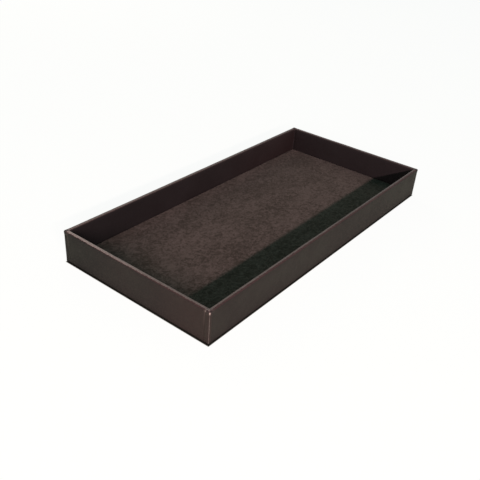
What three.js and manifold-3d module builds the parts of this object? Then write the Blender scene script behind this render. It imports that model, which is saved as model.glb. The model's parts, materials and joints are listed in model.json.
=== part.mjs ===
// A dice tray of flat boards wrapped in leatherette, with a suede floor pad. Lengths are in
// millimetres. The origin is the centre of the footprint where the tray rests, X runs along the tray,
// Y across it and Z up.

import * as THREE from 'three';
import { mergeVertices } from 'three/addons/utils/BufferGeometryUtils.js';
import Module from 'manifold-3d';

const wasm = await Module();
wasm.setup();

// The finished tray, outside
const trayLength = 350;
const trayWidth = 166;
const trayHeight = 32;

// Stiff boards under the wraps
const wallBoardThickness = 2.3;
const baseBoardThickness = 2.3;
const boardEdgeRadius = 0.4;
const boardCornerRadius = 0.7;

// Leatherette wraps. They are turned under the base board, and a long wall's wrap comes round the
// corner to a seam on the short face, which lies a little further in than the long wall is thick
const wrapThickness = 0.6;
const wellCornerRadius = 0.4;
const turnUnder = 14;
const seamLap = 0.85;
const seamGap = 0.2;

// Gummed paper stays over the upright joints of the wall boards, measured from the tray's corner
const stayThickness = 0.2;
const stayReach = 14;

// Floor pad: suede wrapped round a card and turned under it
const cardThickness = 0.8;
const cardEdgeRadius = 0.2;
const cardCornerRadius = 0.8;
const suedeThickness = 0.6;
const suedeTurnUnder = 10;
const padClearance = 0.25;

// Felt lining of the underside, pressed up to the base board inside the turned-under wraps
const feltThickness = 0.6;
const feltInset = 3;
const feltSlope = 1.5;
const feltCornerRadius = 1;

// Glue between two layers, and how far a cutting shape runs past what it cuts
const glueLine = 0.05;
const cutOverrun = 2;

// Flats in a round edge, and half of those in a round corner
const edgeSteps = 4;
const cornerSteps = 3;

// Heights of the layers, from the table up
const wrapBottom = feltThickness + glueLine;
const turnUnderTop = wrapBottom + wrapThickness;
const baseBoardBottom = turnUnderTop + glueLine;
const baseBoardTop = baseBoardBottom + baseBoardThickness;
const wallBoardBottom = baseBoardTop + glueLine;
const wallBoardTop = trayHeight - wrapThickness - glueLine;
const suedeBottom = baseBoardTop + glueLine;
const cardBottom = suedeBottom + suedeThickness + glueLine;
const cardTop = cardBottom + cardThickness;
const suedeTop = cardTop + glueLine + suedeThickness;

// Depths of the layers of a wall, from its outer face in
const stayDepth = wrapThickness + glueLine;
const boardDepth = stayDepth + stayThickness + glueLine;
const wallThickness = boardDepth + wallBoardThickness + glueLine + wrapThickness;
const seamDepth = wallThickness + seamLap;

// Round edges are concentric, so a sheet is equally thick all the way round the board under it
const wrapInnerRadius = boardEdgeRadius + glueLine;
const wrapEdgeRadius = wrapInnerRadius + wrapThickness;
const trayCornerRadius = boardCornerRadius + boardDepth;
const suedeDepth = suedeThickness + glueLine;
const suedeInnerRadius = cardEdgeRadius + glueLine;
const suedeEdgeRadius = cardEdgeRadius + suedeDepth;

// The half sizes that pieces are placed by
const halfLength = trayLength / 2;
const halfWidth = trayWidth / 2;
const boardHalfLength = halfLength - boardDepth;
const boardHalfWidth = halfWidth - boardDepth;
const padHalfLength = halfLength - wallThickness - padClearance;
const padHalfWidth = halfWidth - wallThickness - padClearance;

// A closed geometry as a solid that can be joined and cut
function solid(geometry) {
  geometry.deleteAttribute('normal');
  geometry.deleteAttribute('uv');
  const merged = mergeVertices(geometry);
  return new wasm.Manifold(new wasm.Mesh({
    numProp: 3,
    vertProperties: merged.attributes.position.array,
    triVerts: Uint32Array.from(merged.index.array),
  }));
}

// A solid's surface as a geometry
function geometryOf(piece) {
  const { vertProperties, triVerts } = piece.getMesh();
  const geometry = new THREE.BufferGeometry();
  geometry.setAttribute('position', new THREE.BufferAttribute(vertProperties, 3));
  geometry.setIndex(new THREE.BufferAttribute(triVerts, 1));
  return geometry;
}

// A rectangle with round corners, about the origin
function roundedRectangle(halfX, halfY, radius) {
  const shape = new THREE.Shape();
  const x = halfX - radius;
  const y = halfY - radius;
  shape.absarc(x, y, radius, 0, Math.PI / 2);
  shape.absarc(-x, y, radius, Math.PI / 2, Math.PI);
  shape.absarc(-x, -y, radius, Math.PI, Math.PI * 1.5);
  shape.absarc(x, -y, radius, Math.PI * 1.5, Math.PI * 2);
  return shape;
}

// A block with round upright corners and with round edges above and below
function roundedBlock(halfX, halfY, bottom, top, cornerRadius, edgeRadius) {
  const shape = roundedRectangle(
    halfX - edgeRadius, halfY - edgeRadius, cornerRadius - edgeRadius,
  );
  const geometry = new THREE.ExtrudeGeometry(shape, {
    depth: top - bottom - 2 * edgeRadius,
    bevelThickness: edgeRadius,
    bevelSize: edgeRadius,
    bevelSegments: edgeSteps,
    curveSegments: cornerSteps,
  });
  return geometry.translate(0, 0, bottom + edgeRadius);
}

// One level of a layered surface: how far it lies inside the outer face, its height, and the radius
// of its upright corners
function level(depth, height, radius) {
  return { depth, height, radius };
}

// The levels round a bend, by the angle from its outermost point. Corners shrink as it goes inwards
function bend(centreDepth, centreHeight, bendRadius, fromAngle, toAngle, cornerRadius) {
  return Array.from({ length: edgeSteps + 1 }, (_, step) => {
    const angle = THREE.MathUtils.lerp(fromAngle, toAngle, step / edgeSteps);
    const out = bendRadius * Math.cos(angle);
    return level(centreDepth - out, centreHeight + bendRadius * Math.sin(angle), cornerRadius + out);
  });
}

const BOTTOM = -Math.PI / 2;
const OUTSIDE = 0;
const TOP = Math.PI / 2;
const INSIDE = Math.PI;

// A surface through rounded rectangles of the given levels. Either it is filled in at the first and
// the last of them, or it is closed by joining these two
function layeredSurface(halfX, halfY, levels, joined) {
  const outlines = levels.map(({ depth, height, radius }) => (
    roundedRectangle(halfX - depth, halfY - depth, radius).getPoints(cornerSteps)
      .map((point) => new THREE.Vector3(point.x, point.y, height))
  ));
  const count = outlines[0].length;
  const lastStart = (outlines.length - 1) * count;
  const triangles = [];
  const bands = joined ? outlines.length : outlines.length - 1;
  for (let band = 0; band < bands; band += 1) {
    const below = band * count;
    const above = ((band + 1) % outlines.length) * count;
    for (let side = 0; side < count; side += 1) {
      const next = (side + 1) % count;
      triangles.push(below + side, below + next, above + next);
      triangles.push(below + side, above + next, above + side);
    }
  }
  if (!joined) {
    for (const [a, b, c] of THREE.ShapeUtils.triangulateShape(outlines[0], [])) {
      triangles.push(a, c, b);
    }
    for (const [a, b, c] of THREE.ShapeUtils.triangulateShape(outlines.at(-1), [])) {
      triangles.push(lastStart + a, lastStart + b, lastStart + c);
    }
  }
  const geometry = new THREE.BufferGeometry().setFromPoints(outlines.flat());
  geometry.setIndex(triangles);
  return geometry;
}

// A named mesh with a material of its own
function mesh(name, geometry, finish) {
  geometry.computeVertexNormals();
  const result = new THREE.Mesh(geometry, new THREE.MeshStandardMaterial({ metalness: 0, ...finish }));
  result.name = name;
  return result;
}

const greyboard = { color: 0x8d8478, roughness: 0.95 };
const leatherette = { color: 0x241a17, roughness: 0.5 };
const kraftPaper = { color: 0xa98a63, roughness: 0.9 };
const suede = { color: 0x43362f, roughness: 1 };
const felt = { color: 0x14110f, roughness: 1 };

function board(halfX, halfY, bottom, top) {
  return roundedBlock(halfX, halfY, bottom, top, boardCornerRadius, boardEdgeRadius);
}

function baseBoard() {
  return board(boardHalfLength, boardHalfWidth, baseBoardBottom, baseBoardTop);
}

// A long wall board stands at the +Y side and runs the whole length
function longWallBoard() {
  const thickness = wallBoardThickness / 2;
  return board(boardHalfLength, thickness, wallBoardBottom, wallBoardTop)
    .translate(0, boardHalfWidth - thickness, 0);
}

// A short wall board stands at the +X side, between the long ones
function shortWallBoard() {
  const thickness = wallBoardThickness / 2;
  const reach = boardHalfWidth - wallBoardThickness - glueLine;
  return board(thickness, reach, wallBoardBottom, wallBoardTop)
    .translate(boardHalfLength - thickness, 0, 0);
}

// A paper stay round an upright corner, drawn with the tray's corner at the origin and the tray
// towards -X and -Y
function cornerStay() {
  const outer = stayDepth;
  const inner = boardDepth - glueLine;
  const centre = -trayCornerRadius;
  const shape = new THREE.Shape();
  shape.moveTo(-inner, -stayReach);
  shape.lineTo(-outer, -stayReach);
  shape.absarc(centre, centre, trayCornerRadius - outer, 0, Math.PI / 2);
  shape.lineTo(-stayReach, -outer);
  shape.lineTo(-stayReach, -inner);
  shape.absarc(centre, centre, trayCornerRadius - inner, Math.PI / 2, 0, true);
  const geometry = new THREE.ExtrudeGeometry(shape, {
    depth: wallBoardTop - boardEdgeRadius - wallBoardBottom,
    bevelEnabled: false,
    curveSegments: cornerSteps,
  });
  return geometry.translate(0, 0, wallBoardBottom);
}

// The leatherette as one skin: under the base board, up the outside of the walls, over the rim and
// down their inside to the base board
function wholeSkin() {
  const outerBend = wrapEdgeRadius;
  const innerBend = wrapInnerRadius;
  const lowBend = wrapBottom + outerBend;
  const highBend = trayHeight - outerBend;
  const rimInnerDepth = wallThickness - outerBend;
  const outerCorner = trayCornerRadius - outerBend;
  const wellCorner = wellCornerRadius + outerBend;
  return layeredSurface(halfLength, halfWidth, [
    level(turnUnder, wrapBottom, outerCorner),
    ...bend(outerBend, lowBend, outerBend, BOTTOM, OUTSIDE, outerCorner),
    ...bend(outerBend, highBend, outerBend, OUTSIDE, TOP, outerCorner),
    ...bend(rimInnerDepth, highBend, outerBend, TOP, INSIDE, wellCorner),
    level(wallThickness, suedeBottom, wellCornerRadius),
    level(wallThickness - wrapThickness, suedeBottom, wellCornerRadius + wrapThickness),
    ...bend(rimInnerDepth, highBend, innerBend, INSIDE, TOP, wellCorner),
    ...bend(outerBend, highBend, innerBend, TOP, OUTSIDE, outerCorner),
    ...bend(outerBend, lowBend, innerBend, OUTSIDE, BOTTOM, outerCorner),
    level(turnUnder, turnUnderTop, outerCorner),
  ], true);
}

// The space of the +Y long wall's wrap, up to its seams, which are mitred on the underside. A gap
// widens it towards the short walls' wraps
function longWrapSpace(gap) {
  const farX = halfLength + cutOverrun;
  const farY = halfWidth + cutOverrun;
  const low = wrapBottom - cutOverrun;
  const seamY = halfWidth - seamDepth - gap;
  const flapY = halfWidth - turnUnder - gap;
  const bendX = halfLength - wrapEdgeRadius;
  const mitreX = bendX - (turnUnder - seamDepth);
  const size = [2 * farX, farY - seamY, trayHeight + cutOverrun - low];
  const upright = new THREE.BoxGeometry(...size)
    .translate(0, (farY + seamY) / 2, (trayHeight + cutOverrun + low) / 2);
  const corners = [
    [-bendX, farY],
    [-bendX, seamY],
    [-mitreX, flapY],
    [mitreX, flapY],
    [bendX, seamY],
    [bendX, farY],
  ];
  const outline = new THREE.Shape(corners.map((corner) => new THREE.Vector2(...corner)));
  const depth = baseBoardTop - low;
  const flap = new THREE.ExtrudeGeometry(outline, { depth, bevelEnabled: false });
  return solid(upright).add(solid(flap.translate(0, 0, low)));
}

const skin = solid(wholeSkin());

function longWrap() {
  return geometryOf(skin.intersect(longWrapSpace(0)));
}

// A short wall's wrap, at the +X side, is what the long ones leave there
function shortWrap() {
  const beside = longWrapSpace(seamGap);
  const atLongWalls = beside.add(beside.mirror([0, 1, 0]));
  const [plusX] = skin.subtract(atLongWalls).splitByPlane([1, 0, 0], 0);
  return geometryOf(plusX);
}

function floorCard() {
  return roundedBlock(
    padHalfLength - suedeDepth, padHalfWidth - suedeDepth, cardBottom, cardTop,
    cardCornerRadius, cardEdgeRadius,
  );
}

// The suede lies on the card, goes round its edges and is turned in under it
function floorSuede() {
  const outerBend = suedeEdgeRadius;
  const innerBend = suedeInnerRadius;
  const lowBend = suedeBottom + outerBend;
  const highBend = suedeTop - outerBend;
  const corner = cardCornerRadius - cardEdgeRadius;
  return layeredSurface(padHalfLength, padHalfWidth, [
    ...bend(outerBend, highBend, innerBend, TOP, OUTSIDE, corner),
    ...bend(outerBend, lowBend, innerBend, OUTSIDE, BOTTOM, corner),
    level(suedeTurnUnder, suedeBottom + suedeThickness, corner),
    level(suedeTurnUnder, suedeBottom, corner),
    ...bend(outerBend, lowBend, outerBend, BOTTOM, OUTSIDE, corner),
    ...bend(outerBend, highBend, outerBend, OUTSIDE, TOP, corner),
  ], false);
}

// The felt lies flat under the turned-under wraps and slopes up to the base board inside them
function baseFelt() {
  const step = turnUnder + glueLine;
  const panel = step + feltSlope;
  const panelTop = baseBoardBottom - glueLine;
  return layeredSurface(halfLength, halfWidth, [
    level(panel, panelTop - feltThickness, feltCornerRadius),
    level(step, 0, feltCornerRadius),
    level(feltInset, 0, feltCornerRadius),
    level(feltInset, feltThickness, feltCornerRadius),
    level(step, feltThickness, feltCornerRadius),
    level(panel, panelTop, feltCornerRadius),
  ], false);
}

const tray = new THREE.Group();
tray.add(mesh('base_board', baseBoard(), greyboard));

// Each wall is its board and its wrap, made at the + side and turned half round for the other
const walls = [
  ['rear', 0, longWallBoard, longWrap],
  ['front', Math.PI, longWallBoard, longWrap],
  ['right', 0, shortWallBoard, shortWrap],
  ['left', Math.PI, shortWallBoard, shortWrap],
];
for (const [side, turn, wallBoard, wrap] of walls) {
  const wall = new THREE.Group();
  wall.add(mesh(`${side}_wall_board`, wallBoard(), greyboard));
  wall.add(mesh(`${side}_wrap`, wrap(), leatherette));
  wall.rotation.z = turn;
  tray.add(wall);
}

// The upright corners in turn, a quarter turn apart
const corners = [
  ['rear_right', halfLength, halfWidth],
  ['rear_left', -halfLength, halfWidth],
  ['front_left', -halfLength, -halfWidth],
  ['front_right', halfLength, -halfWidth],
];
corners.forEach(([corner, x, y], quarter) => {
  const stay = mesh(`${corner}_corner_stay`, cornerStay(), kraftPaper);
  stay.rotation.z = quarter * Math.PI / 2;
  stay.position.set(x, y, 0);
  tray.add(stay);
});

tray.add(mesh('floor_card', floorCard(), greyboard));
tray.add(mesh('floor_suede', floorSuede(), suede));
tray.add(mesh('base_felt', baseFelt(), felt));

export default tray;
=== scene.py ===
"""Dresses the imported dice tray: leatherette wraps, suede floor, felt lining, finishes and stage."""

import json
import math
from collections import namedtuple

import bmesh
import bpy
from bpy.props import FloatProperty, FloatVectorProperty, PointerProperty
from mathutils import Matrix, Vector

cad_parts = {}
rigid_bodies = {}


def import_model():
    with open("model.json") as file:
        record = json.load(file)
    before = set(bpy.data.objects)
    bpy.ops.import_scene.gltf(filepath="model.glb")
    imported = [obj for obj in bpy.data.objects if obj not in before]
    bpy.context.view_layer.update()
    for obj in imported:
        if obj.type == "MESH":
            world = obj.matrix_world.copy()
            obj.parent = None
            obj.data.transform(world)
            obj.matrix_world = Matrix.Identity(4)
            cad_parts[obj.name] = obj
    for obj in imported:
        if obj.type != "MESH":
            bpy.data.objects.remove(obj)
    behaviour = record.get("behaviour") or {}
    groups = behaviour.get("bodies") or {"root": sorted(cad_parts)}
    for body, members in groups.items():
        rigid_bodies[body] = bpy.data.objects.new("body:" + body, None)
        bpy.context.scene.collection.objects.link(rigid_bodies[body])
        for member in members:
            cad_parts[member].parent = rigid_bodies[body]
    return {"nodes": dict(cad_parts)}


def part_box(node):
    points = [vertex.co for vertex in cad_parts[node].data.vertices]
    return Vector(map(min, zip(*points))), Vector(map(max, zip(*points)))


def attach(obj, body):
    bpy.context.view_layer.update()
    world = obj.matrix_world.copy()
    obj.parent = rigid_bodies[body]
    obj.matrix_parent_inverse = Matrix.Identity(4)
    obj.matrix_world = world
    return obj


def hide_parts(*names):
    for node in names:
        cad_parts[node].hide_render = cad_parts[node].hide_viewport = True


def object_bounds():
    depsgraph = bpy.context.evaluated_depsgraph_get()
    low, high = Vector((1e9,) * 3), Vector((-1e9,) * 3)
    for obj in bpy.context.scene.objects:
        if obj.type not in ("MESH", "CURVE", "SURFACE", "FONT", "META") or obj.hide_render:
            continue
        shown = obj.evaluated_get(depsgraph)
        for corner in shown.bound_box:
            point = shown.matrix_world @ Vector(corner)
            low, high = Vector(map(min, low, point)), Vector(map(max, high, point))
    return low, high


bl_info = {
    "name": "Dice Tray",
    "version": (1, 0, 0),
    "blender": (4, 5, 0),
    "location": "3D View > Sidebar > Dice Tray",
    "description": "Wraps, floor, lining and finishes for a leatherette dice tray, and its stage",
    "category": "Object",
}

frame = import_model()

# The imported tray, outside, and the places of the pieces that new ones replace
GLUE_LINE = 0.00005
TRAY_LOW, TRAY_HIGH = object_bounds()
HALF_LENGTH = TRAY_HIGH.x
HALF_WIDTH = TRAY_HIGH.y
RIM_HEIGHT = TRAY_HIGH.z
WRAP_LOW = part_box("front_wrap")[0].z
WELL_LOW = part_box("base_board")[1].z + GLUE_LINE
SUEDE_LOW, SUEDE_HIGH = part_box("floor_suede")
FELT_LOW, FELT_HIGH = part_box("base_felt")

BODY = "root"
LONG_WALLS = ("front", "rear")
SHORT_WALLS = ("left", "right")
CORNERS = ((-1, -1), (-1, 1), (1, -1), (1, 1))

# Places nearer than this count as one, and so do a cut and a vertex nearer than the second
NEAR = 0.00002
CUT_NEAR = NEAR / 4

# Flats in a round corner and a round edge, and the angles of a sharp and a soft edge
CORNER_SEGMENTS = 6
BEND_SEGMENTS = 4
SHARP_EDGE = math.radians(60)
SOFT_EDGE = math.radians(50)

# The vertex group of what may lie unevenly, and how far in from an edge a sheet lies flat
LOOSE = "loose"
FLAT_EDGE = 0.001


def tint(name, description, default):
    return FloatVectorProperty(
        name=name, description=description, default=default, subtype="COLOR", min=0, max=1
    )


def metres(name, description, default):
    return FloatProperty(
        name=name, description=description, default=default, min=0, unit="LENGTH", precision=5
    )


def fraction(name, description, default):
    return FloatProperty(
        name=name, description=description, default=default, min=0, max=1, subtype="FACTOR"
    )


def watts(name, description, default):
    return FloatProperty(name=name, description=description, default=default, min=0, unit="POWER")


# Settings


class WrapSettings(bpy.types.PropertyGroup):
    """Sizes of the leatherette wraps"""

    thickness: metres("Thickness", "Thickness of the leatherette", 0.0006)
    wall: metres("Wall", "Thickness of a wrapped wall", 0.00385)
    edge_radius: metres("Edge Radius", "Outer radius at the rim and foot", 0.00105)
    corner_radius: metres("Corner Radius", "Radius of the upright outer corners", 0.0016)
    well_radius: metres("Well Radius", "Radius of the upright corners inside", 0.0004)
    turn_under: metres("Turn Under", "Width turned under the base", 0.014)
    seam_depth: metres("Seam Depth", "From the long face to the seam beside it", 0.0047)
    seam_gap: metres("Seam Gap", "Open line between two wraps", 0.0002)
    cut_softness: metres("Cut Softness", "Rounding of the cut edges", 0.00012)
    swelling: metres("Swelling", "Height of the broad waves", 0.00016)
    swell_size: metres("Swell Size", "Size of the broad waves", 0.02)
    rippling: metres("Rippling", "Height of the small waves", 0.000064)
    ripple_size: metres("Ripple Size", "Size of the small waves", 0.006)
    loose_reach: metres("Loose Reach", "From the floor up to full waves", 0.01)
    bunching: metres("Bunching", "How far folded corners stand out", 0.0003)
    bunch_spread: metres("Bunch Spread", "How far round them that pulls", 0.0016)
    bunch_lift: fraction("Bunch Lift", "How much up, against out", 0.3)
    step: metres("Mesh Step", "Spacing of the mesh", 0.004)


class LeatherSettings(bpy.types.PropertyGroup):
    """Colours and patterns of the leatherette"""

    colour: tint("Colour", "On flat faces", (0.0054, 0.0019, 0.0016))
    deep_colour: tint("Deep Colour", "Between the grains", (0.003, 0.001, 0.0008))
    # Painted shade: darker where less light falls, at the rear of the outer left end and the left of
    # the long walls' inner faces
    falloff_shade_colour: tint("Fresh Colour", "Where it is seldom handled", (0.001, 0.0006, 0.0005))
    # Rim wear, and painted light where more light falls, at the front of the outer left end and the
    # right of the long walls' inner faces
    rubbed_and_lit_colour: tint("Rubbed Colour", "Rubbed along the rim", (0.035, 0.014, 0.012))
    # Wear over the rim, partly a painted highlight
    worn_and_highlight_colour: tint("Worn Colour", "Stretched over the rim", (0.072, 0.057, 0.049))
    # Pale where pulled round the corners, partly a painted highlight
    upright_and_highlight_colour: tint("Upright Colour", "Stretched round corners", (0.13, 0.121, 0.106))
    # Scuff marks, and painted highlights on the upright corners and the left rim
    scuff_and_highlight_colour: tint("Scuff Colour", "Scuffed through", (0.34, 0.27, 0.24))
    # Painted shade in the gaps between the corners' folds
    gap_shade_colour: tint("Gap Colour", "In the gaps between folds", (0.008, 0.005, 0.0045))
    foot_colour: tint("Foot Colour", "In the shade at the foot", (0.001, 0.0008, 0.0007))
    grain: metres("Grain", "Size of the leather grain", 0.0005)
    creases: metres("Creases", "Size of the faint creases", 0.004)
    swells: metres("Swells", "Size of the soft swells", 0.007)
    patches: metres("Patches", "Size of the pale, dull patches", 0.035)
    breaks: metres("Breaks", "Size of the breaks in worn edges", 0.0012)
    folds: metres("Folds", "Size of the corners' folds", 0.0016)
    crown_ragged: metres("Crown Ragged", "How ragged the rim's pale top starts", 0.0003)
    crown_long: metres("Crown Long", "How much later on the long walls", 0.0006)
    crown_corner: metres("Crown Corner", "How much later at the near corner", 0.0007)


class FloorSettings(bpy.types.PropertyGroup):
    """Sizes and colours of the suede floor"""

    thickness: metres("Thickness", "Thickness of the suede", 0.0006)
    edge_radius: metres("Edge Radius", "Outer radius round the card", 0.00085)
    corner_radius: metres("Corner Radius", "Radius of the floor's upright corners", 0.0006)
    turn_under: metres("Turn Under", "Width turned under the card", 0.01)
    sag: metres("Sag", "Height of the broad unevenness", 0.00012)
    sag_size: metres("Sag Size", "Size of the broad unevenness", 0.03)
    dents: metres("Dents", "Depth of the small dents", 0.000072)
    dent_size: metres("Dent Size", "Size of the small dents", 0.006)
    loose_reach: metres("Loose Reach", "From the edge to full unevenness", 0.006)
    step: metres("Mesh Step", "Spacing of the mesh", 0.002)
    colour: tint("Colour", "Suede brushed up", (0.076, 0.055, 0.048))
    shade_colour: tint("Shade Colour", "Suede brushed down", (0.029, 0.0215, 0.017))
    nap: metres("Nap", "Size of the brush marks", 0.0055)
    sweeps: metres("Sweeps", "Size of the broad sweeps", 0.03)
    fibres: metres("Fibres", "Size of the tufts of fibre", 0.0026)
    lint: metres("Lint", "Size of the bright specks", 0.0011)


class LiningSettings(bpy.types.PropertyGroup):
    """Sizes and colours of the felt"""

    thickness: metres("Thickness", "Thickness of the felt", 0.0006)
    flat_border: metres("Flat Border", "Flat border under the turned wraps", 0.01105)
    slope: metres("Slope", "Width of the slope inside the border", 0.0015)
    corner_radius: metres("Corner Radius", "Radius of the cut corners", 0.001)
    cut_softness: metres("Cut Softness", "Rounding of the cut edges", 0.00015)
    swelling: metres("Swelling", "How uneven the felt lies", 0.0002)
    swell_size: metres("Swell Size", "Size of the unevenness", 0.02)
    loose_reach: metres("Loose Reach", "From the slope to full unevenness", 0.01)
    step: metres("Mesh Step", "Spacing of the mesh", 0.004)
    colour: tint("Colour", "Felt", (0.0085, 0.0068, 0.006))
    lint_colour: tint("Lint Colour", "Loose fibres on the felt", (0.03, 0.025, 0.022))


class BoardSettings(bpy.types.PropertyGroup):
    """Colours of what lies under the wraps"""

    board_colour: tint("Board Colour", "Grey pulp board", (0.26, 0.23, 0.19))
    fleck_colour: tint("Fleck Colour", "Dark flecks in the board", (0.1, 0.09, 0.08))
    paper_colour: tint("Paper Colour", "Gummed paper of the corner stays", (0.4, 0.26, 0.13))


class StageSettings(bpy.types.PropertyGroup):
    """Light and floor"""

    key_power: watts("Key Power", "Power of the long light in front", 146)
    key_place: FloatVectorProperty(
        name="Key Place", description="Middle of the key light", default=(-1.8, -1.417, 0.81),
        subtype="TRANSLATION",
    )
    key_length: metres("Key Length", "Length of the key light", 2.03)
    key_width: metres("Key Width", "Width of the key light", 0.06)
    key_colour: tint("Key Colour", "Colour of the key light", (1.0, 0.745, 0.8))
    fill_colour: tint("Fill Colour", "Colour of the light all round", (0.15, 0.35, 0.32))
    rim_power: watts("Rim Power", "Power of the soft light behind", 6.2)
    rim_distance: metres("Rim Distance", "From the tray to the soft light", 1.6)
    rim_size: metres("Rim Size", "Width of the soft light", 0.7)
    rim_colour: tint("Rim Colour", "Colour of the soft light", (1.0, 0.76, 0.68))
    floor_size: metres("Floor Size", "Width of the floor", 6)
    floor_corner: metres("Floor Corner", "Radius of the floor's corners", 0.75)
    floor_edge: metres("Floor Edge", "Width of the floor's bent edge", 0.01)
    floor_drop: metres("Floor Drop", "How far its edge turns down", 0.004)
    floor_colour: tint("Floor Colour", "Paper, as it lights the tray", (0.9, 0.93, 0.72))
    floor_glow: fraction("Floor Glow", "Extra light from the floor on the tray", 0.2)
    contact_shade: metres("Contact Shade", "Width of the shade round the foot", 0.004)
    seen_shade: metres("Seen Shade", "The same, as the camera sees it", 0.0007)
    floor_shadow: fraction("Floor Shadow", "How much of the shadow shows", 0.07)


class TraySettings(bpy.types.PropertyGroup):
    """All settings of the dice tray"""

    wraps: PointerProperty(type=WrapSettings)
    leather: PointerProperty(type=LeatherSettings)
    floor: PointerProperty(type=FloorSettings)
    lining: PointerProperty(type=LiningSettings)
    boards: PointerProperty(type=BoardSettings)
    stage: PointerProperty(type=StageSettings)


# Mesh work


def clear_selection():
    if bpy.context.mode != "OBJECT":
        bpy.ops.object.mode_set(mode="OBJECT")
    bpy.ops.object.select_all(action="DESELECT")


def make_active(obj):
    clear_selection()
    bpy.context.view_layer.objects.active = obj
    obj.select_set(True)


def start_mesh(name, add_primitive, **values):
    """Adds a primitive and goes into its mesh, with all of it selected."""
    clear_selection()
    add_primitive(**values)
    made = bpy.context.object
    made.name = made.data.name = name
    bpy.ops.object.transform_apply(location=True, rotation=True, scale=True)
    bpy.ops.object.mode_set(mode="EDIT")
    bpy.ops.mesh.select_all(action="SELECT")
    return made


def choose(obj, kind, wanted):
    """Selects the vertices, edges or faces of the mesh being edited that are wanted."""
    bpy.ops.mesh.select_mode(type=kind[:-1].upper())
    bpy.ops.mesh.select_all(action="DESELECT")
    work = bmesh.from_edit_mesh(obj.data)
    found = 0
    for part in getattr(work, kind):
        part.select = bool(wanted(part))
        found += part.select
    work.select_flush_mode()
    bmesh.update_edit_mesh(obj.data)
    return found


def at_height(vert, height):
    return abs(vert.co.z - height) < NEAR


def rounded_loop(obj, half, height, radius, cuts):
    """Adds a rectangle with round corners to the mesh being edited, as a loop of bare edges."""
    bpy.ops.mesh.select_mode(type="VERT")
    bpy.ops.mesh.select_all(action="DESELECT")
    bpy.ops.mesh.primitive_plane_add(size=2, location=(0, 0, height))
    bpy.ops.transform.resize(value=(*half, 1))
    bpy.ops.mesh.bevel(offset=radius, segments=CORNER_SEGMENTS, affect="VERTICES")
    bpy.ops.mesh.delete(type="ONLY_FACE")
    for axis in (0, 1):
        def is_side(edge):
            a, b = (vert.co[axis] for vert in edge.verts)
            return abs(a - b) > half[axis]
        choose(obj, "edges", is_side)
        bpy.ops.mesh.subdivide(number_cuts=cuts[axis])
    choose(obj, "edges", lambda edge: edge.is_wire)


def extrude_up(height, steps):
    """Pulls the selected loop of edges up, in equal steps."""
    for _ in range(steps):
        bpy.ops.mesh.extrude_edges_move(TRANSFORM_OT_translate={"value": (0, 0, height / steps)})


def bridge_level(obj, height, cuts):
    """Joins the two loops at a height, sides and corners in turn, and cuts the band lengthwise."""
    straight = NEAR / 10

    def still_open(edge):
        return all(at_height(vert, height) for vert in edge.verts) and not any(
            all(at_height(vert, height) for vert in face.verts) for face in edge.link_faces
        )

    for x, y in CORNERS:
        for part in ("side_x", "side_y", "corner"):
            def wanted(edge):
                a, b = (vert.co for vert in edge.verts)
                middle, run = (a + b) / 2, a - b
                if part == "side_x":
                    belongs = middle.y * y > 0 and abs(run.y) < straight and x > 0
                elif part == "side_y":
                    belongs = middle.x * x > 0 and abs(run.x) < straight and y > 0
                else:
                    slanted = min(abs(run.x), abs(run.y)) >= straight
                    belongs = slanted and middle.x * x > 0 and middle.y * y > 0
                return belongs and still_open(edge)
            if choose(obj, "edges", wanted):
                bpy.ops.mesh.bridge_edge_loops()

    def crossing(edge):
        around = [vert for face in edge.link_faces for vert in face.verts]
        return not edge.is_boundary and all(at_height(vert, height) for vert in around)
    choose(obj, "edges", crossing)
    bpy.ops.mesh.subdivide(number_cuts=cuts)


def insets(outside, place):
    """How far in from the end and from the side of an outside a place is."""
    return outside.x - abs(place.x), outside.y - abs(place.y)


def level(outside, inset, height):
    """Half a length and half a width, in from an outside, at a height."""
    return outside.x - inset, outside.y - inset, height


def bend_levels(outside, radius, centre_height, start):
    """Levels round a quarter bend, outwards and down from 90 degrees, or inwards and down from 0."""
    levels = []
    for step in range(BEND_SEGMENTS + 1):
        angle = math.radians(start - 90 * step / BEND_SEGMENTS)
        inset = radius * (1 - math.cos(angle))
        levels.append(level(outside, inset, centre_height + radius * math.sin(angle)))
    return levels


def bordered_sheet(name, levels, step):
    """A flat grid of the first level's size with a border through the others, in edit mode."""
    half_x, half_y, height = levels[0]
    sheet = start_mesh(
        name, bpy.ops.mesh.primitive_grid_add, size=2, location=(0, 0, height),
        x_subdivisions=round(2 * half_x / step), y_subdivisions=round(2 * half_y / step),
    )
    bpy.ops.transform.resize(value=(half_x, half_y, 1))
    choose(sheet, "edges", lambda edge: edge.is_boundary)
    for next_x, next_y, next_height in levels[1:]:
        bpy.ops.mesh.extrude_edges_move(
            TRANSFORM_OT_translate={"value": (0, 0, next_height - height)}
        )
        bpy.ops.transform.resize(value=(next_x / half_x, next_y / half_y, 1))
        half_x, half_y, height = next_x, next_y, next_height
    return sheet


def agree_normals():
    bpy.ops.mesh.select_all(action="SELECT")
    bpy.ops.mesh.normals_make_consistent(inside=False)


def face_outwards(sheet, outwards):
    """Makes the faces of an open sheet agree, with its broad middle facing the given way."""
    agree_normals()
    work = bmesh.from_edit_mesh(sheet.data)
    middle = min(work.faces, key=lambda face: face.calc_center_median().xy.length)
    middle.normal_update()
    if middle.normal.dot(outwards) < 0:
        bpy.ops.mesh.flip_normals()


def ramp_between(value, low, high):
    return min(max((value - low) / (high - low), 0), 1)


def set_loose(obj, share):
    """Makes each vertex as loose as a function of its place says."""
    group = obj.vertex_groups.new(name=LOOSE)
    for vert in obj.data.vertices:
        group.add([vert.index], share(vert.co), "REPLACE")


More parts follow.
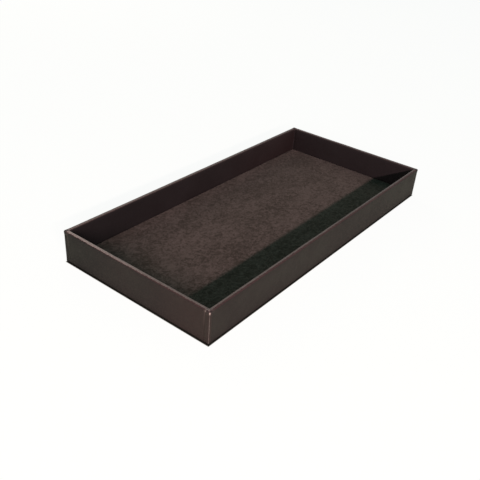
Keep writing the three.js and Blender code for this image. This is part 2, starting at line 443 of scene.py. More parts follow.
def uneven(name, size, strength, mid_level, depth=1):
    """A modifier that makes a sheet uneven where it is loose."""
    pattern = bpy.data.textures.new(name, "CLOUDS")
    pattern.noise_scale = size
    pattern.noise_depth = depth
    return "DISPLACE", {
        "direction": "NORMAL", "texture_coords": "LOCAL", "texture": pattern,
        "strength": strength, "mid_level": mid_level, "vertex_group": LOOSE,
    }


def thickened(thickness):
    """A modifier that gives a sheet its thickness, inwards."""
    return "SOLIDIFY", {"thickness": thickness, "offset": -1, "use_even_offset": True}


def softened(width):
    """A modifier that rounds the cut edges of a sheet."""
    return "BEVEL", {
        "width": width, "segments": 2, "limit_method": "ANGLE", "angle_limit": SHARP_EDGE
    }


def finish_with(obj, *modifiers):
    """Adds modifiers to an object, each a type and its values, and applies them in turn."""
    make_active(obj)
    for kind, values in modifiers:
        modifier = obj.modifiers.new(kind.title(), kind)
        for key, value in values.items():
            setattr(modifier, key, value)
        bpy.ops.object.modifier_apply(modifier=modifier.name)


def give(obj, node, material, smooth_angle):
    """Smooths a finished piece, gives it its material, ties it to its body and hides the node it
    stands for.
    """
    obj.vertex_groups.clear()
    make_active(obj)
    bpy.ops.object.shade_smooth_by_angle(angle=smooth_angle)
    obj.data.materials.clear()
    obj.data.materials.append(material)
    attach(obj, BODY)
    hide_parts(node)


def saved_at_bend(radius, thickness):
    """How much shorter the middle of a sheet is round a bend than its outside, drawn sharp."""
    return 2 * radius - math.pi / 2 * (radius - thickness / 2)


# Materials


def shaded(colour, factor):
    """A colour made darker or paler."""
    return tuple(factor * part for part in colour)


class Nodes:
    """A node tree under construction, with short calls for what the finishes use."""

    def __init__(self, tree):
        self.tree = tree
        tree.nodes.clear()

    def feed(self, socket, value):
        """Links a socket to another one, or sets it."""
        if isinstance(value, bpy.types.NodeSocket):
            self.tree.links.new(value, socket)
        elif socket.type == "RGBA":
            socket.default_value = (*value, 1)
        else:
            socket.default_value = value

    def node(self, kind, values=None, **settings):
        made = self.tree.nodes.new(kind)
        for key, value in settings.items():
            setattr(made, key, value)
        for key, value in (values or {}).items():
            self.feed(made.inputs[key], value)
        return made

    def maths(self, operation, *values):
        return self.node("ShaderNodeMath", dict(enumerate(values)), operation=operation).outputs[0]

    def times(self, first, *others):
        for other in others:
            first = self.maths("MULTIPLY", first, other)
        return first

    def most(self, first, *others):
        for other in others:
            first = self.maths("MAXIMUM", first, other)
        return first

    def inverse(self, share):
        return self.maths("SUBTRACT", 1, share)

    def distance(self, a, b):
        return self.maths("ABSOLUTE", self.maths("SUBTRACT", a, b))

    def fade(self, value, low, high, to_low=0.0, to_high=1.0):
        names = ("Value", "From Min", "From Max", "To Min", "To Max")
        values = dict(zip(names, (value, low, high, to_low, to_high)))
        return self.node("ShaderNodeMapRange", values, interpolation_type="SMOOTHSTEP").outputs[0]

    def mix(self, share, a, b):
        return self.node("ShaderNodeMix", {0: share, 6: a, 7: b}, data_type="RGBA").outputs[2]


class Finish(Nodes):
    """A material under construction, in object coordinates."""

    def __init__(self, name):
        self.material = bpy.data.materials.new(name)
        self.material.use_nodes = True
        super().__init__(self.material.node_tree)
        self.place = self.node("ShaderNodeTexCoord").outputs["Object"]

    def axes(self):
        return self.node("ShaderNodeSeparateXYZ", {"Vector": self.place}).outputs

    def noise(self, size, detail=2, roughness=0.5, distortion=0, scale=None):
        """A noise pattern, drawn out along the axes whose scale is under 1."""
        place = self.place
        if scale:
            place = self.node("ShaderNodeMapping", {"Vector": place, "Scale": scale}).outputs[0]
        values = {
            "Vector": place, "Scale": 1 / size, "Detail": detail, "Roughness": roughness,
            "Distortion": distortion,
        }
        return self.node("ShaderNodeTexNoise", values).outputs["Fac"]

    def cells(self, size):
        values = {"Vector": self.place, "Scale": 1 / size}
        return self.node("ShaderNodeTexVoronoi", values).outputs["Distance"]

    def mottled(self, pattern, colour, darkest, palest):
        """A colour that a noise pattern makes darker and paler."""
        return self.mix(self.fade(pattern, 0.3, 0.7), shaded(colour, darkest), shaded(colour, palest))

    def bumps(self, *layers):
        """A normal from patterns laid over each other, each with its height."""
        values = {}
        for pattern, height in layers:
            values.update(Height=pattern, Distance=height)
            values["Normal"] = self.node("ShaderNodeBump", values).outputs[0]
        return values["Normal"]

    def closed(self, shader):
        """The material, with its output linked to a shader."""
        self.node("ShaderNodeOutputMaterial", {"Surface": shader.outputs[0]})
        return self.material

    def surface(self, **values):
        named = {key.replace("_", " "): value for key, value in values.items()}
        return self.closed(self.node("ShaderNodeBsdfPrincipled", named))


# Painted highlights: pale spots on the upright corners, at the top and near the foot
Spot = namedtuple("Spot", "height reach strength")
HIGHLIGHT_SPOTS = (
    Spot(height=RIM_HEIGHT - 0.0013, reach=0.0015, strength=1),
    Spot(height=WRAP_LOW + 0.006, reach=0.0018, strength=0.3),
)


class Leather(Finish):
    """The leatherette's finish, which goes by the place."""

    # Where marks begin and where they are full, in from a bend, an end, a corner, the foot and the
    # seam: wear and painted highlight by the bends, painted light and shade by the ends, scuff marks,
    # folds and painted shade at the corners, painted shade at the foot, and a pale cut edge by the
    # seam
    BEND = (0.0003, 0.0008)
    END = (0.003, 0.001)
    CORNER = (0.007, 0.002)
    CORNER_TOP = (0.004, 0.0008)
    FOOT = (0.0022, 0.001)
    SEAM_LINE = (0.0005, 0.0002)
    SEAM_END = (0.001, 0.0005)

    # From where to where, and from what share to what share: by y on the left end, by x inside. The
    # first row is painted shade where less light falls, the second painted light where more falls
    FALLOFF_SHADE = ((0, 0.07, 0, 0.85), (0, -0.15, 0, 0.6))
    PAINTED_LIGHT = ((-0.01, -0.07, 0, 0.14), (0, 0.15, 0, 0.12))

    def __init__(self, wraps, look):
        super().__init__("leatherette")
        self.wraps, self.look = wraps, look
        self.x, self.y, self.z = self.axes()
        self.from_end = self.maths("SUBTRACT", HALF_LENGTH, self.maths("ABSOLUTE", self.x))
        self.from_side = self.maths("SUBTRACT", HALF_WIDTH, self.maths("ABSOLUTE", self.y))
        self.depth = self.maths("MINIMUM", self.from_end, self.from_side)
        self.long_wall = self.maths("GREATER_THAN", self.from_end, self.from_side)
        self.on_left = self.maths("LESS_THAN", self.x, 0)
        self.near_corner = self.times(self.on_left, self.maths("LESS_THAN", self.y, 0))
        self.near_corner_share = self.fade(self.near_corner, 0, 1, to_low=0.15)

        self.breaks = self.noise(look.breaks, detail=3, roughness=0.6)
        self.patches = self.noise(look.patches, detail=3, roughness=0.55)
        self.grain = self.cells(look.grain)
        self.folds = self.noise(look.folds, distortion=0.8)

        lap_end = wraps.wall - 0.0005
        self.lapped = self.fade(self.most(self.from_end, self.from_side), wraps.wall, lap_end)
        less_lapped = self.times(self.lapped, self.fade(self.near_corner, 0, 1, to_low=0.9, to_high=0))
        self.unlapped = self.inverse(less_lapped)
        self.near_rim = self.fade(self.z, RIM_HEIGHT - 0.75 * wraps.edge_radius, RIM_HEIGHT)
        self.broken = self.fade(self.breaks, 0.3, 0.6, to_low=0.45)
        # Painted shade along the foot, which also dims the shine there
        self.foot_shade = self.fade(self.z, *(WRAP_LOW + height for height in self.FOOT), to_high=0.95)

    def crown(self):
        """The pale top of the rim, from a ragged line by the outer face to just short of the well:
        wear, partly a painted highlight.
        """
        start = self.fade(self.y, -0.05, 0.01, to_low=0.0011, to_high=0.0006)
        start = self.maths("MULTIPLY_ADD", self.long_wall, self.look.crown_long, start)
        at_lap = self.times(self.lapped, self.near_corner)
        start = self.maths("MULTIPLY_ADD", at_lap, self.look.crown_corner, start)
        limit = self.look.crown_ragged
        ragged = self.fade(self.breaks, 0.3, 0.7, -limit, limit)
        pale = self.maths("GREATER_THAN", self.maths("ADD", self.depth, ragged), start)
        end = self.fade(self.depth, *(self.wraps.wall - inset for inset in self.BEND))
        return self.times(self.near_rim, pale, self.times(end, self.unlapped))

    def in_corner(self, start, full):
        """A share that grows towards an upright corner, by the distances from both faces."""
        by_end = self.fade(self.from_end, start, full)
        return self.times(by_end, self.fade(self.from_side, start, full))

    def upright(self):
        """The upright corners below the rim, pale where the leatherette is pulled over the boards,
        partly a painted highlight.
        """
        radius = self.wraps.corner_radius
        below_rim = self.fade(self.z, *(RIM_HEIGHT - drop for drop in self.BEND))
        return self.times(self.in_corner(0.44 * radius, 0.21 * radius), below_rim)

    def painted_light_share(self, on_end, on_inside):
        """A share by place on the outer left end and the long walls' inner faces, for painted light
        and shade.
        """
        outer_end = self.times(self.fade(self.from_end, *self.END), self.on_left)
        inside = self.fade(self.depth, *(self.wraps.wall - inset for inset in reversed(self.BEND)))
        return self.most(
            self.times(outer_end, self.fade(self.y, *on_end)),
            self.times(self.times(inside, self.long_wall), self.fade(self.x, *on_inside)),
        )

    def flat_colour(self, falloff_shade):
        """The grained colour of the flat faces, darker with painted shade, redder with rim wear and
        painted light.
        """
        plain = self.mottled(self.patches, self.look.colour, 0.88, 1.12)
        grained = self.mix(self.fade(self.grain, 0.1, 0.55), plain, self.look.deep_colour)
        grained = self.mix(falloff_shade, grained, self.look.falloff_shade_colour)
        # Painted light on the outer left end and the long walls' inner faces, mixed with wear along
        # the rim
        lit = self.painted_light_share(*self.PAINTED_LIGHT)
        rubbed_and_lit = self.most(self.times(self.near_rim, self.broken, 0.8, self.unlapped), lit)
        return self.mix(rubbed_and_lit, grained, self.look.rubbed_and_lit_colour)

    def at_corner(self):
        """The tops of the corners, where the leatherette is folded."""
        near_top = self.fade(self.z, *(RIM_HEIGHT - drop for drop in self.CORNER_TOP))
        return self.times(self.in_corner(*self.CORNER), near_top)

    def scuffs_and_highlights(self, crown, upright, at_corner):
        """Folds and seam edges scuffed pale, and painted highlights on the upright corners and along
        the left rim.
        """
        specks_and_highlights = self.times(
            self.fade(self.folds, 0.54, 0.62, to_high=0.7), at_corner,
            self.fade(self.long_wall, 0, 1, to_low=1, to_high=0.3), self.near_corner_share,
        )
        for spot in HIGHLIGHT_SPOTS:
            away = self.distance(self.z, spot.height)
            strength = self.fade(away, spot.reach, 0.4 * spot.reach, to_high=spot.strength)
            specks_and_highlights = self.most(specks_and_highlights, self.times(strength, upright, self.near_corner_share))
        from_seam = self.distance(self.from_side, self.wraps.seam_depth + self.wraps.thickness)
        cut_edge = self.fade(from_seam, *self.SEAM_LINE, to_high=0.06)
        upper = self.fade(self.z, 0.5 * RIM_HEIGHT, 0.7 * RIM_HEIGHT)
        cut_edge = self.times(cut_edge, self.fade(self.from_end, *self.SEAM_END), upper)
        short_left = self.times(self.on_left, self.inverse(self.long_wall))
        # Painted highlight along the left rim, paler towards the rear
        rim_highlight = self.times(short_left, self.fade(self.y, -0.04, 0.09, to_low=0.08, to_high=0.5))
        rim_highlight = self.times(self.most(rim_highlight, self.times(self.near_corner, 0.04)), crown, self.broken)
        return self.most(specks_and_highlights, cut_edge, rim_highlight)


def leatherette(wraps, look):
    """Dark brown leatherette with a fine grain and faint creases, paler where an edge stretches it,
    with painted highlights on the rim and corners and painted light and shade by place.
    """
    leather = Leather(wraps, look)
    crown, upright, at_corner = leather.crown(), leather.upright(), leather.at_corner()
    # Painted shade away from the near corner, which also dims the shine below
    falloff_shade = leather.painted_light_share(*leather.FALLOFF_SHADE)
    # Wear on the rim's top and the upright corners, partly a painted highlight
    worn_and_highlit = leather.times(leather.most(leather.times(crown, 0.75), upright), leather.broken)
    stretched_and_highlit = leather.mix(upright, look.worn_and_highlight_colour, look.upright_and_highlight_colour)
    colour = leather.mix(worn_and_highlit, leather.flat_colour(falloff_shade), stretched_and_highlit)
    # Painted shade at the foot
    colour = leather.mix(leather.foot_shade, colour, look.foot_colour)
    # Painted shade in the gaps between folds at the corners
    gap_shade = leather.times(leather.fade(leather.folds, 0.5, 0.44, to_high=0.8), at_corner)
    colour = leather.mix(leather.times(gap_shade, leather.near_corner_share), colour, look.gap_shade_colour)
    colour = leather.mix(leather.scuffs_and_highlights(crown, upright, at_corner), colour, look.scuff_and_highlight_colour)

    bumped = leather.bumps(
        (leather.noise(look.swells, detail=1, roughness=0.4), 0.00018),
        (leather.noise(look.creases, detail=4, roughness=0.6, distortion=1.2), 0.00004),
        (leather.times(leather.folds, at_corner), 0.0006),
        (leather.grain, 0.00003),
        (leather.cells(0.45 * look.grain), 0.000012),
    )
    dullness = leather.fade(leather.patches, 0.3, 0.7, to_low=0.66, to_high=0.76)
    # Less shine where shade is painted: at the foot, and away from the near corner
    shine = leather.fade(leather.foot_shade, 0, 1, to_low=0.26, to_high=0.06)
    return leather.surface(
        Base_Color=colour,
        Roughness=leather.maths("SUBTRACT", dullness, leather.times(crown, 0.16)),
        Specular_IOR_Level=leather.maths("SUBTRACT", shine, leather.times(falloff_shade, 0.045)),
        Normal=bumped,
    )


def suede(settings):
    """Brown suede: short nap brushed this way and that, with fine fibres."""
    finish = Finish("suede")
    brushed = finish.noise(settings.nap, detail=3, roughness=0.6, distortion=1.6)
    sweeps = finish.noise(settings.sweeps, distortion=0.4, scale=(0.6, 1, 1))
    fibres = finish.noise(settings.fibres, detail=3, roughness=0.65, distortion=1, scale=(0.7, 1, 1))
    lint = finish.fade(finish.noise(settings.lint), 0.66, 0.8)

    shade = finish.maths("ADD", finish.times(brushed, 0.45), finish.times(sweeps, 0.2))
    shade = finish.maths("ADD", shade, finish.times(fibres, 0.35))
    colour = finish.mix(finish.fade(shade, 0.38, 0.62), settings.shade_colour, settings.colour)
    colour = finish.mix(finish.times(lint, 0.25), colour, shaded(settings.colour, 1.5))
    return finish.surface(
        Base_Color=colour, Roughness=0.95, Specular_IOR_Level=0.03,
        Sheen_Weight=0.05, Sheen_Roughness=0.45, Sheen_Tint=(0.75, 0.66, 0.6),
        Normal=finish.bumps((brushed, 0.0003), (fibres, 0.00015)),
    )


def felt(settings):
    """Near-black pressed felt with matted fibres and a little lint."""
    finish = Finish("felt")
    matted = finish.noise(0.0015, detail=4, roughness=0.7, distortion=1.5)
    strands = finish.noise(0.0004, detail=3, roughness=0.6, distortion=2)
    lint = finish.noise(0.0023, detail=3, roughness=0.8, distortion=3)
    colour = finish.mottled(matted, settings.colour, 0.7, 1.3)
    colour = finish.mix(finish.fade(lint, 0.63, 0.72), colour, settings.lint_colour)
    return finish.surface(
        Base_Color=colour, Roughness=1.0, Specular_IOR_Level=0.1,
        Sheen_Weight=0.15, Sheen_Roughness=0.6, Sheen_Tint=(0.5, 0.45, 0.42),
        Normal=finish.bumps((matted, 0.0003), (strands, 0.0001)),
    )


def greyboard(settings):
    """Grey pulp board, flecked with scraps of darker paper."""
    finish = Finish("greyboard")
    pulp = finish.noise(0.003, detail=4, roughness=0.7)
    flecks = finish.noise(0.0009, roughness=0.6, distortion=1, scale=(0.4, 1, 1))
    plies = finish.noise(0.0005, scale=(0.05, 0.05, 1))
    colour = finish.mottled(pulp, settings.board_colour, 0.85, 1.1)
    colour = finish.mix(finish.fade(flecks, 0.64, 0.72), colour, settings.fleck_colour)
    bumped = finish.bumps((pulp, 0.0001), (plies, 0.00005))
    return finish.surface(Base_Color=colour, Roughness=0.92, Specular_IOR_Level=0.2, Normal=bumped)


def stay_paper(settings):
    """Gummed brown paper with fine ribs."""
    finish = Finish("stay_paper")
    pulp = finish.noise(0.002, detail=4, roughness=0.7, distortion=0.5)
    colour = finish.mottled(pulp, settings.paper_colour, 0.85, 1.12)
    bumped = finish.bumps((finish.noise(0.0006, scale=(1, 1, 0.1)), 0.00004))
    return finish.surface(Base_Color=colour, Roughness=0.85, Specular_IOR_Level=0.3, Normal=bumped)


# Wraps


# Folded leatherette at the top and foot of an upright corner
Bunch = namedtuple("Bunch", "inset height reach share")
BUNCHES = (
    Bunch(inset=0.0006, height=RIM_HEIGHT - 0.0008, reach=0.0012, share=1),
    Bunch(inset=0.0004, height=WRAP_LOW + 0.0016, reach=0.0009, share=0.4),
)


def seam_side(place, settings):
    """How far past its seam a place is, in metres: more than 0 on a long wall's wrap."""
    bend_x = HALF_LENGTH - settings.edge_radius
    seam_y = HALF_WIDTH - settings.seam_depth - settings.seam_gap / 2
    inwards = max(bend_x - abs(place.x), 0) if place.z < WRAP_LOW + NEAR else 0
    return abs(place.y) - seam_y + inwards


def wrap_skin(settings):
    """The leatherette as one skin: under the base, up the walls, over the rim and down inside."""
    skin = start_mesh("wrap_skin", bpy.ops.mesh.primitive_plane_add, size=2)
    bpy.ops.mesh.delete(type="VERT")
    outside, well, flap = (
        (HALF_LENGTH - inset, HALF_WIDTH - inset) for inset in (0, settings.wall, settings.turn_under)
    )
    cuts = [round(2 * half / settings.step) - 1 for half in outside]
    storeys = round(RIM_HEIGHT / settings.step)
    rounded_loop(skin, outside, WRAP_LOW, settings.corner_radius, cuts)
    extrude_up(RIM_HEIGHT - WRAP_LOW, storeys)
    rounded_loop(skin, well, WELL_LOW, settings.well_radius, cuts)
    extrude_up(RIM_HEIGHT - WELL_LOW, storeys)
    bridge_level(skin, RIM_HEIGHT, 1)
    rounded_loop(skin, flap, WRAP_LOW, settings.corner_radius - settings.edge_radius, cuts)
    bridge_level(skin, WRAP_LOW, 3)
    agree_normals()

    def bent(edge):
        depths = [min(insets(TRAY_HIGH, vert.co)) for vert in edge.verts]
        outermost = max(depths) < settings.corner_radius / 2
        if all(at_height(vert, RIM_HEIGHT) for vert in edge.verts):
            return outermost or min(depths) > settings.wall - NEAR
        return outermost and all(at_height(vert, WRAP_LOW) for vert in edge.verts)
    choose(skin, "edges", bent)
    bpy.ops.mesh.bevel(
        offset=settings.edge_radius, segments=BEND_SEGMENTS, affect="EDGES", loop_slide=False
    )
    agree_normals()
    return skin


def cut_seams(skin, settings):
    """Cuts the skin at the upright seams and at the mitres under the base, and takes the gap out."""
    def underside(face):
        return all(vert.co.z < WRAP_LOW + NEAR for vert in face.verts)

    def cut(place, across):
        bpy.ops.mesh.bisect(plane_co=place, plane_no=across, threshold=CUT_NEAR)

    seam_y = HALF_WIDTH - settings.seam_depth
    bend_x = HALF_LENGTH - settings.edge_radius
    lines = (seam_y, seam_y - settings.seam_gap)
    for side in (-1, 1):
        for line in lines:
            choose(skin, "faces", lambda face: not underside(face))
            cut((0, side * line, 0), (0, 1, 0))
    for x, y in CORNERS:
        for line in lines:
            def at_corner(face):
                centre = face.calc_center_median()
                beside = max(insets(TRAY_HIGH, centre)) < 2 * settings.turn_under
                return beside and centre.x * x > 0 and centre.y * y > 0 and underside(face)
            choose(skin, "faces", at_corner)
            cut((x * bend_x, y * line, 0), (x, -y, 0))
    in_gap = settings.seam_gap / 2 - NEAR
    choose(skin, "faces", lambda face: abs(seam_side(face.calc_center_median(), settings)) < in_gap)
    bpy.ops.mesh.delete(type="FACE")


def wall_at(place, settings):
    """The wall that a place of the skin belongs to."""
    if seam_side(place, settings) > 0:
        return "front" if place.y < 0 else "rear"
    return "left" if place.x < 0 else "right"


def part_wraps(skin, settings):
    """Parts the cut skin into the four walls' wraps."""
    wraps = {}
    for wall in ("front", "rear", "left"):
        choose(skin, "faces", lambda face: wall_at(face.calc_center_median(), settings) == wall)
        before = set(bpy.data.objects)
        bpy.ops.mesh.separate(type="SELECTED")
        (wraps[wall],) = set(bpy.data.objects) - before
    bpy.ops.object.mode_set(mode="OBJECT")
    wraps["right"] = skin
    for wall, wrap in wraps.items():
        wrap.name = wrap.data.name = f"{wall}_leatherette"
    return wraps


def bunch_corners(wrap, side, settings):
    """Pushes out the folded leatherette at the top and foot of a long wall's upright corners."""
    make_active(wrap)
    bpy.ops.object.mode_set(mode="EDIT")
    for end in (-1, 1):
        outwards = Vector((end, side, settings.bunch_lift)).normalized()
        for bunch in BUNCHES:
            spot = Vector((
                end * (HALF_LENGTH - bunch.inset), side * (HALF_WIDTH - bunch.inset), bunch.height
            ))
            choose(wrap, "verts", lambda vert: (vert.co - spot).length < bunch.reach)
            bpy.ops.transform.translate(
                value=outwards * settings.bunching * bunch.share, use_proportional_edit=True,
                proportional_edit_falloff="SMOOTH", proportional_size=settings.bunch_spread,
            )
    bpy.ops.object.mode_set(mode="OBJECT")


class DICETRAY_OT_wraps(bpy.types.Operator):
    """Wrap the four walls in leatherette"""

    bl_idname = "dicetray.wraps"
    bl_label = "Wrap Walls"
    bl_options = {"REGISTER", "UNDO"}

    def execute(self, context):
        settings = context.scene.dice_tray.wraps
        material = leatherette(settings, context.scene.dice_tray.leather)
        skin = wrap_skin(settings)
        cut_seams(skin, settings)
        modifiers = (
            uneven("wrap_swells", settings.swell_size, settings.swelling, 0.3),
            uneven("wrap_ripples", settings.ripple_size, settings.rippling, 0.3),
            thickened(settings.thickness),
            softened(settings.cut_softness),
        )
        bend = saved_at_bend(settings.edge_radius, settings.thickness)
        corner = saved_at_bend(settings.corner_radius, settings.thickness)
        loose_from, loose_to = SUEDE_HIGH.z, SUEDE_HIGH.z + settings.loose_reach
        for wall, wrap in part_wraps(skin, settings).items():
            if wall in LONG_WALLS:
                bunch_corners(wrap, 1 if wall == "rear" else -1, settings)
            set_loose(wrap, lambda place: ramp_between(place.z, loose_from, loose_to))
            finish_with(wrap, *modifiers)
            give(wrap, f"{wall}_wrap", material, SOFT_EDGE)
        return {"FINISHED"}


# Floor


class DICETRAY_OT_floor(bpy.types.Operator):
    """Lay the suede floor over its card"""

    bl_idname = "dicetray.floor"
    bl_label = "Lay Suede Floor"
    bl_options = {"REGISTER", "UNDO"}

    def execute(self, context):
        settings = context.scene.dice_tray.floor
        radius = settings.edge_radius
        turned = (settings.turn_under / 2, settings.turn_under)
        sheet = bordered_sheet("suede_floor", [
            *bend_levels(SUEDE_HIGH, radius, SUEDE_HIGH.z - radius, 90),
            *bend_levels(SUEDE_HIGH, radius, SUEDE_LOW.z + radius, 0),
            *(level(SUEDE_HIGH, inset, SUEDE_LOW.z) for inset in turned),
        ], settings.step)

        def corner_fold(edge):
            ends = [insets(SUEDE_HIGH, vert.co) for vert in edge.verts]
            on_corner = all(abs(from_end - from_side) < NEAR for from_end, from_side in ends)
            deep = max(max(end) for end in ends)
            return on_corner and deep < settings.turn_under + radius and edge.calc_length() > NEAR
        choose(sheet, "edges", corner_fold)
        bpy.ops.mesh.bevel(offset=settings.corner_radius, segments=3, affect="EDGES")
        face_outwards(sheet, Vector((0, 0, 1)))
        bpy.ops.object.mode_set(mode="OBJECT")

        def loose(place):
            on_top = place.z > SUEDE_HIGH.z - NEAR
            depth = min(insets(SUEDE_HIGH, place))
            return on_top * ramp_between(depth, FLAT_EDGE, settings.loose_reach)
        set_loose(sheet, loose)
        finish_with(
            sheet,
            uneven("suede_sag", settings.sag_size, settings.sag, 0.1),
            uneven("suede_dents", settings.dent_size, settings.dents, 0.1, depth=2),
            thickened(settings.thickness),
        )
        give(sheet, "floor_suede", suede(settings), SHARP_EDGE)
        depth = SUEDE_HIGH.z - SUEDE_LOW.z
        reach = depth + settings.turn_under - 2 * saved_at_bend(radius, settings.thickness)
        return {"FINISHED"}


# Lining and boards


class DICETRAY_OT_lining(bpy.types.Operator):
    """Line the underside with felt"""

    bl_idname = "dicetray.lining"
    bl_label = "Line Underside"
    bl_options = {"REGISTER", "UNDO"}

    def execute(self, context):
        settings = context.scene.dice_tray.lining
        border = settings.flat_border
        inner = border + settings.slope
        sheet = bordered_sheet("underside_felt", [
            level(FELT_HIGH, inner, FELT_HIGH.z - settings.thickness),
            *(level(FELT_HIGH, inset, FELT_LOW.z) for inset in (border, border / 2, 0)),
        ], settings.step)
        face_outwards(sheet, Vector((0, 0, -1)))
        bpy.ops.object.mode_set(mode="OBJECT")

        def loose(place):
            inside = min(insets(FELT_HIGH, place)) - inner
            return ramp_between(inside, FLAT_EDGE, settings.loose_reach)
        set_loose(sheet, loose)
        finish_with(
            sheet,
            uneven("felt_swells", settings.swell_size, settings.swelling, 0),
            thickened(settings.thickness),
        )
        bpy.ops.object.mode_set(mode="EDIT")
        choose(sheet, "edges", lambda edge: all(
            max(insets(FELT_HIGH, vert.co)) < NEAR for vert in edge.verts
        ))
        bpy.ops.mesh.bevel(offset=settings.corner_radius, segments=BEND_SEGMENTS, affect="EDGES")
        finish_with(sheet, softened(settings.cut_softness))
        give(sheet, "base_felt", felt(settings), SOFT_EDGE)
        return {"FINISHED"}


class DICETRAY_OT_boards(bpy.types.Operator):
    """Finish the boards, the card and the corner stays"""

    bl_idname = "dicetray.boards"
    bl_label = "Finish Boards"
    bl_options = {"REGISTER", "UNDO"}

    def execute(self, context):
        settings = context.scene.dice_tray.boards
        walls = (f"{wall}_wall_board" for wall in LONG_WALLS + SHORT_WALLS)
        stays = (f"{a}_{b}_corner_stay" for a in LONG_WALLS for b in SHORT_WALLS)
        for material, names in (
            (greyboard(settings), ("base_board", "floor_card", *walls)),
            (stay_paper(settings), stays),
        ):
            for name in names:
                frame["nodes"][name].material_slots[0].material = material
        return {"FINISHED"}


# Stage

# The camera, which matches the photograph's, and the soft light, seen from the tray's middle
CAMERA_AZIMUTH = math.radians(-53.65)
CAMERA_ELEVATION = math.radians(31.314)
CAMERA_ROLL = math.radians(4.268)
CAMERA_DISTANCE = 0.64472
CAMERA_RIGHT = -0.02034
CAMERA_UP = -0.0158
CAMERA_LENS = 48.1525
RIM_LIGHT_AZIMUTH = math.radians(152)
RIM_LIGHT_ELEVATION = math.radians(29)


def direction_to(azimuth, elevation):
    """The direction of a viewer, from azimuth 0 in front of the tray."""
    return Vector((
        math.sin(azimuth) * math.cos(elevation),
        -math.cos(azimuth) * math.cos(elevation),
        math.sin(elevation),
    ))


def studio_world(settings):
    """White for the camera and in reflections, and a soft tinted light for the rest."""
    world = bpy.data.worlds.new("studio")
    world.use_nodes = True
    nodes = Nodes(world.node_tree)
    path = nodes.node("ShaderNodeLightPath").outputs
    seen = nodes.most(path["Is Camera Ray"], path["Is Glossy Ray"])
    soft, white = (
        nodes.node("ShaderNodeBackground", {"Color": colour}).outputs[0]
        for colour in (settings.fill_colour, (1, 1, 1))
    )
    sky = nodes.node("ShaderNodeMixShader", {0: seen, 1: soft, 2: white})
    nodes.node("ShaderNodeOutputWorld", {"Surface": sky.outputs[0]})
    return world


def white_floor(settings):
    """Pale paper, seen as white with a little of the tray's shadow, and with a painted contact shadow
    under the tray and round its foot.
    """
    finish = Finish("white_floor")
    x, y, _ = finish.axes()
    seen = finish.node("ShaderNodeLightPath").outputs["Is Camera Ray"]
    reach = finish.fade(seen, 0, 1, settings.contact_shade, settings.seen_shade)
    # Painted contact shadow: dark paper without glow under the tray and a little round it, wider for
    # light than for the camera
    under = finish.times(*(
        finish.fade(finish.maths("ABSOLUTE", axis), finish.maths("ADD", half, reach), half)
        for axis, half in ((x, HALF_LENGTH), (y, HALF_WIDTH))
    ))
    open_floor = finish.inverse(under)
    colour = finish.mix(under, settings.floor_colour, shaded(settings.floor_colour, 0.02))
    paper = finish.node("ShaderNodeBsdfDiffuse", {"Color": colour})
    white = finish.node("ShaderNodeEmission")
    mix = finish.node("ShaderNodeMixShader", {
        0: finish.times(seen, open_floor, 1 - settings.floor_shadow),
        1: paper.outputs[0],
        2: white.outputs[0],
    })
    lift = finish.node("ShaderNodeEmission", {
        "Color": settings.floor_colour,
        "Strength": finish.times(finish.inverse(seen), open_floor, settings.floor_glow),
    })
    return finish.closed(finish.node("ShaderNodeAddShader", {0: mix.outputs[0], 1: lift.outputs[0]}))


def add_light(name, place, facing, colour, **values):
    """Adds an area light at a place, which shines against the facing vector."""
    turn = facing.to_track_quat("Z", "Y").to_euler()
    bpy.ops.object.light_add(type="AREA", location=place, rotation=turn)
    light = bpy.context.object
    light.name = light.data.name = name
    light.visible_camera = False
    light.data.color = colour
    for key, value in values.items():
        setattr(light.data, key, value)


def lay_ground(settings):
    """The white floor, with round corners and its edge turned down."""
    ground = start_mesh("studio_floor", bpy.ops.mesh.primitive_plane_add, size=settings.floor_size)
    bpy.ops.mesh.bevel(offset=settings.floor_corner, segments=2 * BEND_SEGMENTS, affect="VERTICES")
    bpy.ops.mesh.select_all(action="SELECT")
    bpy.ops.mesh.inset(thickness=settings.floor_edge)
    choose(ground, "edges", lambda edge: edge.is_boundary)
    bpy.ops.transform.translate(value=(0, 0, -settings.floor_drop))
    bpy.ops.object.mode_set(mode="OBJECT")
    ground.data.materials.append(white_floor(settings))


def place_camera(scene):
    """Looks over the near corner, turned slightly, as from a hand-held camera."""
    back = direction_to(CAMERA_AZIMUTH, CAMERA_ELEVATION)
    level = Vector((math.cos(CAMERA_AZIMUTH), math.sin(CAMERA_AZIMUTH), 0))
    upright = back.cross(level)
    right = math.cos(CAMERA_ROLL) * level + math.sin(CAMERA_ROLL) * upright
    up = -math.sin(CAMERA_ROLL) * level + math.cos(CAMERA_ROLL) * upright
    place = CAMERA_DISTANCE * back + CAMERA_RIGHT * right + CAMERA_UP * up
    turn = Matrix((right, up, back)).transposed().to_euler()
    bpy.ops.object.camera_add(location=place, rotation=turn)
    camera = bpy.context.object
    camera.name = camera.data.name = "camera"
    camera.data.lens = CAMERA_LENS
    scene.camera = camera


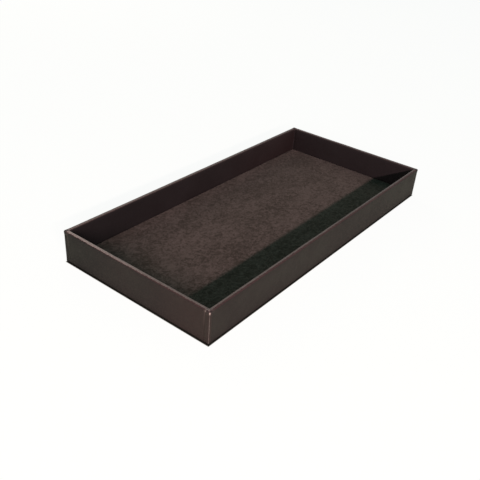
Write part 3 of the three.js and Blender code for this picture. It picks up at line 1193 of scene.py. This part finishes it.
class DICETRAY_OT_stage(bpy.types.Operator):
    """Set the tray on a white floor, with its lights and camera"""

    bl_idname = "dicetray.stage"
    bl_label = "Set Stage"
    bl_options = {"REGISTER", "UNDO"}

    def execute(self, context):
        settings = context.scene.dice_tray.stage
        lay_ground(settings)
        place = Vector(settings.key_place)
        add_light(
            "key_light", place, Vector((0, place.y, place.z)), settings.key_colour,
            energy=settings.key_power, shape="RECTANGLE", size=settings.key_length,
            size_y=settings.key_width,
        )
        behind = direction_to(RIM_LIGHT_AZIMUTH, RIM_LIGHT_ELEVATION)
        add_light(
            "rim_light", settings.rim_distance * behind, behind, settings.rim_colour,
            energy=settings.rim_power, shape="DISK", size=settings.rim_size,
        )
        context.scene.world = studio_world(settings)
        context.scene.view_settings.view_transform = "Standard"
        place_camera(context.scene)
        return {"FINISHED"}


class DICETRAY_PT_panel(bpy.types.Panel):
    """Steps of the dice tray, in order"""

    bl_label = "Dice Tray"
    bl_idname = "DICETRAY_PT_panel"
    bl_space_type = "VIEW_3D"
    bl_region_type = "UI"
    bl_category = "Dice Tray"

    def draw(self, context):
        settings = context.scene.dice_tray
        steps = (
            (DICETRAY_OT_wraps, settings.wraps, settings.leather),
            (DICETRAY_OT_floor, settings.floor),
            (DICETRAY_OT_lining, settings.lining),
            (DICETRAY_OT_boards, settings.boards),
            (DICETRAY_OT_stage, settings.stage),
        )
        for operator, *groups in steps:
            box = self.layout.box()
            box.operator(operator.bl_idname)
            for group in groups:
                for name in group.__annotations__:
                    box.prop(group, name)


CLASSES = (
    WrapSettings, LeatherSettings, FloorSettings, LiningSettings, BoardSettings, StageSettings,
    TraySettings, DICETRAY_OT_wraps, DICETRAY_OT_floor, DICETRAY_OT_lining, DICETRAY_OT_boards,
    DICETRAY_OT_stage, DICETRAY_PT_panel,
)


def register():
    for cls in CLASSES:
        bpy.utils.register_class(cls)
    bpy.types.Scene.dice_tray = PointerProperty(type=TraySettings)


def unregister():
    del bpy.types.Scene.dice_tray
    for cls in reversed(CLASSES):
        bpy.utils.unregister_class(cls)


def main():
    register()
    bpy.ops.dicetray.wraps()
    bpy.ops.dicetray.floor()
    bpy.ops.dicetray.lining()
    bpy.ops.dicetray.boards()
    bpy.ops.dicetray.stage()


if __name__ == "__main__":
    main()
